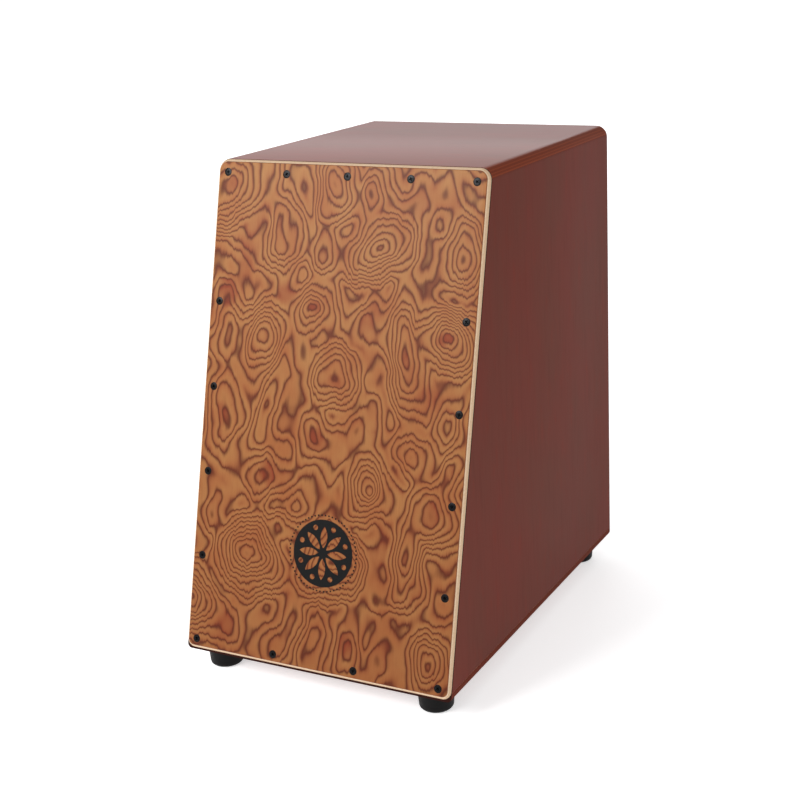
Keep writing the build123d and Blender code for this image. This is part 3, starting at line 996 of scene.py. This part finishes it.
head_points = [p for p in slope_points("tapa_screws") if p.z > face_z - 0.05 * mm]
screw_places = cluster_centres(head_points, 12 * mm)
head_radius = max(min((p - place).length for place in screw_places) for p in head_points)
shank_radius = 1.75 * mm
screw_depth = face_z - slope_box("tapa_screws")[0].z
rim = 0.4 * mm
soft = 0.12 * mm
cone_end = -rim - (head_radius - shank_radius)
profile = [
    (0, 0),
    (head_radius - 2.2 * soft, 0),
    (head_radius - soft, -0.35 * soft),
    (head_radius, -1.2 * soft),
    (head_radius, -rim),
    (shank_radius + 0.25 * mm, cone_end + 0.2 * mm),
    (shank_radius, cone_end - 0.3 * mm),
    (shank_radius, -screw_depth + 4 * mm),
    (0.15 * mm, -screw_depth + 0.2 * mm),
    (0, -screw_depth + 0.2 * mm),
]
screw = turned("screw", profile)
carve(screw, cross_cutter(span=4.8 * mm, width=1.2 * mm, depth=1.7 * mm, top=0))
screws = []
for number, place in enumerate(screw_places):
    turn = Matrix.Rotation(math.radians(37 * number % 90), 4, "Z")
    spot = Matrix.Translation((place.x, place.y, face_z))
    screws.append(copy_of(screw, "face_screw", slope @ spot @ turn))
bpy.data.objects.remove(screw)
face_screws = join(screws, "face_screws")
smooth(face_screws)
finish_piece(face_screws, black_steel, ["tapa_screws"])
print("face screws:", len(screw_places))

# %% [markdown]
# Each countersink is a hair wider than the head, so a thin dark ring shows round it.

# %% Countersinks, veneer and core
gap = 0.06 * mm
sink = turned("sink", [
    (0, 1 * mm),
    (head_radius + gap, 1 * mm),
    (head_radius + gap, -rim),
    (shank_radius + gap, cone_end),
    (shank_radius + gap, -screw_depth),
    (0, -screw_depth),
], sides=40)
sinks = [copy_of(sink, "sink_copy", Matrix.Translation((place.x, place.y, face_z)))
         for place in screw_places]
bpy.data.objects.remove(sink)
sinks = join(sinks, "sinks")


def slice_of(source, name, level, keep_above):
    """The part of a plate above or below a level, with the cut closed."""
    part = copy_of(source, name)
    pick(part, "FACE", lambda centre, normal: True)
    bpy.ops.mesh.bisect(plane_co=(0, 0, level), plane_no=(0, 0, 1), use_fill=True,
                        clear_inner=keep_above, clear_outer=not keep_above)
    leave_edit()
    return part


for name, node, finish, slot_name, above in (
        ("face_veneer", "tapa_veneer", figured_veneer, "figured_veneer", True),
        ("face_core", "tapa_core", face_plywood, "face_plywood", False)):
    part = slice_of(plate, name, glue_line, above)
    carve(part, sinks, keep_cutter=True)
    tidy_normals(part)
    part.data.transform(slope)
    smooth(part)
    finish_piece(part, finish, [node])
bpy.data.objects.remove(sinks)
bpy.data.objects.remove(plate)

# %% [markdown]
# ## The printed roundel
#
# Low on the face sits a dark disc with a flower left open, so that the wood shows through
# its petals, and a ring of beads round it. It is a film a tenth of a millimetre thick.

# %% Roundel
print_low, print_high = slope_box("roundel_print")
roundel_centre = (print_low + print_high) / 2
roundel_radius = (print_high.x - print_low.x) / 2
film_low, film_high = print_low.z, print_high.z
disc_radius = 32.7 * mm
petal_count = 8
petal_inner = 5.0 * mm
petal_outer = 26.0 * mm
petal_width = 7.6 * mm
seed_radius = 2.6 * mm
bead_count = 60
bead_radius = 0.9 * mm


def disc(name, radius, centre, low, high, sides):
    """A round plate between two heights."""
    bpy.ops.object.select_all(action="DESELECT")
    bpy.ops.mesh.primitive_cylinder_add(vertices=sides, radius=radius, depth=high - low,
                                        location=(centre[0], centre[1], (low + high) / 2))
    piece = bpy.context.object
    piece.name = name
    settle()
    return piece


def around(reach, angle):
    """A point at a distance and an angle from the roundel's middle."""
    return (roundel_centre.x + reach * math.cos(angle), roundel_centre.y + reach * math.sin(angle))


# a petal is what two large discs share, one on each side of it
petal_middle = (petal_inner + petal_outer) / 2
half_length = (petal_outer - petal_inner) / 2
bulge = petal_width / 2
arc_radius = (half_length ** 2 + bulge ** 2) / (2 * bulge)
to_roundel = Matrix.Translation((roundel_centre.x, roundel_centre.y, 0))

roundel = disc("roundel", disc_radius, around(0, 0), film_low, film_high, 160)
cutters = []
for number in range(petal_count):
    angle = 2 * math.pi * number / petal_count
    between = angle + math.pi / petal_count
    petal = disc("petal", arc_radius, (petal_middle, arc_radius - bulge), -far, far, 220)
    other = disc("petal_side", arc_radius, (petal_middle, bulge - arc_radius), -far, far, 220)
    carve(petal, other, "INTERSECT")
    petal.data.transform(to_roundel @ Matrix.Rotation(angle, 4, "Z"))
    cutters.append(petal)
    cutters.append(disc("seed", seed_radius, around(petal_outer, between), -far, far, 32))
carve(roundel, join(cutters, "petals"))
beads = [roundel]
for number in range(bead_count):
    spot = around(roundel_radius - bead_radius, 2 * math.pi * number / bead_count)
    beads.append(disc("bead", bead_radius, spot, film_low, film_high, 20))
roundel = join(beads, "printed_roundel")
tidy_normals(roundel)
roundel.data.transform(slope)
finish_piece(roundel, ink, ["roundel_print"])

# %% [markdown]
# ## Rubber feet
#
# A foot is turned too, from the hole under the base, out over a small lip, down its taper,
# round the tread's edge, across two fine grooves and up its deep bore to the hole again.

# %% Feet
side_radius = 16.9 * mm
tread_round = 4.5 * mm
round_steps = 8
hole_radius = 2.25 * mm
bore_radius = 7.2 * mm
web = 7 * mm
lip_height = 1.6 * mm
lip_depth = 0.45 * mm
soft_edge = 0.3 * mm
groove_half = 0.28 * mm
groove_depth = 0.3 * mm
mouth = 0.5 * mm

for node in ("foot_front_left", "foot_front_right", "foot_rear_left", "foot_rear_right"):
    low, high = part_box(node)
    centre = (low + high) / 2
    top_radius = (high.x - low.x) / 2
    height = high.z - low.z
    profile = [
        (hole_radius, height),
        (top_radius - soft_edge, height),
        (top_radius, height - soft_edge),
        (top_radius, height - lip_height),
        (top_radius - lip_depth, height - lip_height - soft_edge),
        (side_radius, tread_round),
    ]
    for step in range(1, round_steps + 1):
        angle = math.pi / 2 * step / round_steps
        profile.append((side_radius - tread_round + tread_round * math.cos(angle),
                        tread_round - tread_round * math.sin(angle)))
    tread = profile[-1][0]
    for share in (0.72, 0.42):
        groove = bore_radius + (tread - bore_radius) * share
        profile += [(groove + groove_half, 0), (groove, groove_depth), (groove - groove_half, 0)]
    profile += [
        (bore_radius + mouth, 0),
        (bore_radius, mouth),
        (bore_radius, height - web),
        (hole_radius, height - web),
        (hole_radius, height),
    ]
    foot = turned(node + "_rubber", profile, sides=72)
    foot.data.transform(Matrix.Translation((centre.x, centre.y, low.z)))
    smooth(foot, 40)
    finish_piece(foot, rubber, [node])

# %% [markdown]
# ## Coiled snare strands
#
# Each strand is a fine spring. A five-sided ring of wire is swept up a screw line once,
# closed at both ends, and copied side by side. The strands lean forward from the bar until
# their tips lie against the back of the face, which makes the drum buzz.

# %% Snare coils
wire_radius = 0.25 * mm
strand_radius = 1.1 * mm
strand_count = 10
coil_pitch = 1.15 * mm
for side in ("left", "right"):
    node = "snare_wires_" + side
    low, high = slope_box(node)
    tilt = math.atan((high.z - low.z - 2 * strand_radius) / (high.y - low.y))
    length = (high.y - low.y - 2 * strand_radius * math.sin(tilt)) / math.cos(tilt)
    turns = int((length - 2 * wire_radius) / coil_pitch)
    bpy.ops.object.select_all(action="DESELECT")
    bpy.ops.mesh.primitive_circle_add(vertices=5, radius=wire_radius, fill_type="NOTHING",
                                      location=(strand_radius - wire_radius, 0, wire_radius),
                                      rotation=(math.pi / 2, 0, 0))
    coil = bpy.context.object
    settle()
    modify(coil, "SCREW", axis="Z", angle=2 * math.pi, screw_offset=coil_pitch, iterations=turns,
           steps=9, render_steps=9, use_merge_vertices=False)
    pick(coil, "EDGE", lambda a, b: True)
    bpy.ops.mesh.fill_holes(sides=0)
    leave_edit()
    tidy_normals(coil)
    pitch = (high.x - low.x - 2 * strand_radius) / (strand_count - 1)
    start_z = low.z + strand_radius * math.cos(tilt)
    lie_down = Matrix.Rotation(tilt - math.pi / 2, 4, "X")
    strands = []
    for number in range(strand_count):
        start = (low.x + strand_radius + number * pitch, low.y, start_z)
        strands.append(copy_of(coil, "strand", slope @ Matrix.Translation(start) @ lie_down))
    bpy.data.objects.remove(coil)
    coils = join(strands, "snare_coils_" + side)
    smooth(coils, 60)
    finish_piece(coils, wire_steel, [node])

# %% [markdown]
# ## Finishes for the pieces that keep their shape
#
# Battens, glue strips, the snare bar, plates, washers and small screws are right as they
# come from the frame. They only need their wood or metal, with the grain running along
# each stick.

# %% Inner pieces
inner_finishes = {"snare_bar": beech}
for end in ("front", "rear"):
    for place, finish in (("top", softwood_across), ("bottom", softwood_across),
                          ("left", softwood_upright), ("right", softwood_upright)):
        inner_finishes[end + "_batten_" + place] = finish
for side in ("left", "right"):
    inner_finishes["corner_strip_top_" + side] = softwood_deep
    inner_finishes["corner_strip_bottom_" + side] = softwood_deep
    inner_finishes["snare_plate_" + side] = zinc_steel
for node in ("snare_bar_screws", "snare_plate_screws", "foot_washers", "foot_screws"):
    inner_finishes[node] = zinc_steel
for node, finish in inner_finishes.items():
    nodes[node].data.materials.clear()
    nodes[node].data.materials.append(finish)
print("inner pieces finished:", len(inner_finishes))

# %% [markdown]
# ## Floor, light and camera
#
# The drum stands on a plain pale floor that glows a little by itself, so that it stays
# white and the shadow on it faint.


# %% Floor
def floor_finish():
    recipe = Recipe("pale_floor")
    tone = recipe.noise(recipe.place, (0.6, 0.6, 0.6), 2, 1)
    colour = recipe.blend(paint(244, 244, 244), paint(248, 248, 248), tone.step(-1, 1))
    return recipe.surface(colour=colour, rough=0.7, specular=0.2,
                          glow=(1, 1, 1, 1), glow_strength=0.56)


floor_size = 60
bpy.ops.object.select_all(action="DESELECT")
bpy.ops.mesh.primitive_plane_add(size=floor_size, location=(0, 0, floor_z))
floor = bpy.context.object
floor.name = "floor"
settle()
floor.data.materials.append(floor_finish())
print("floor at height", round(floor_z / mm, 2), "mm")

# %% [markdown]
# The sky is a plain dome, brightest at the horizon. A small softbox at the front left
# brightens the upper part of the leaning face, and a large one behind is mirrored in the
# lacquer of the seat. Neither reaches the right side, so that side stays dark.


# %% Light
def softbox(name, place, size, power):
    """A square area light that faces the middle of the box."""
    middle = Vector((0, 0, (base_low.z + seat_high.z) / 2))
    lamp = bpy.data.lights.new(name, "AREA")
    lamp.shape = "SQUARE"
    lamp.size = size
    lamp.energy = power
    holder = bpy.data.objects.new(name, lamp)
    holder.location = place
    holder.rotation_euler = (middle - Vector(place)).to_track_quat("-Z", "Y").to_euler()
    bpy.context.scene.collection.objects.link(holder)
    print(name, "softbox:", size, "m,", power, "W")


sky = Recipe("studio", sky=True)
height = sky.axis(sky.place, "Z")
glow = height.scaled(0.0, 0.12, 1.0, 0.72) * height.scaled(0.12, 0.5, 1.0, 0.72)
dome = sky.node("Background", {}, {"Color": (0.97, 0.985, 1, 1), "Strength": glow})
sky.tree.links.new(dome.socket, sky.output.inputs["Surface"])
bpy.context.scene.world = sky.material
softbox("key", (-0.9, -1.7, 1.3), 0.9, 31)
softbox("back", (-2.0, 3.6, 2.3), 3.0, 46)

# %% [markdown]
# The camera stands at the front right and looks down a little. Its lens is shifted, so
# that the drum sits off the middle of the frame without its lines changing slant.

# %% Camera
focal_length = 65.3
sensor_width = 36
lens_shift = (-0.0566, -0.0269)
camera_place = (0.6991, -1.2748, 0.7)
camera_turn = math.radians(27.01)
camera_dip = math.radians(16.88)
camera_roll = math.radians(-2.36)
camera_data = bpy.data.cameras.new("camera")
camera_data.lens = focal_length
camera_data.sensor_width = sensor_width
camera_data.shift_x, camera_data.shift_y = lens_shift
camera_data.clip_start = 0.01
camera_data.clip_end = 200
camera = bpy.data.objects.new("camera", camera_data)
aim = Matrix.Rotation(camera_turn, 4, "Z") @ Matrix.Rotation(math.pi / 2 - camera_dip, 4, "X")
roll = Matrix.Rotation(camera_roll, 4, "Z")
camera.matrix_world = Matrix.Translation(camera_place) @ aim @ roll
bpy.context.scene.collection.objects.link(camera)
bpy.context.scene.camera = camera
bpy.context.scene.view_settings.view_transform = "Standard"
bpy.context.scene.view_settings.look = "None"
print("camera", round(Vector(camera_place).length, 2), "m away")
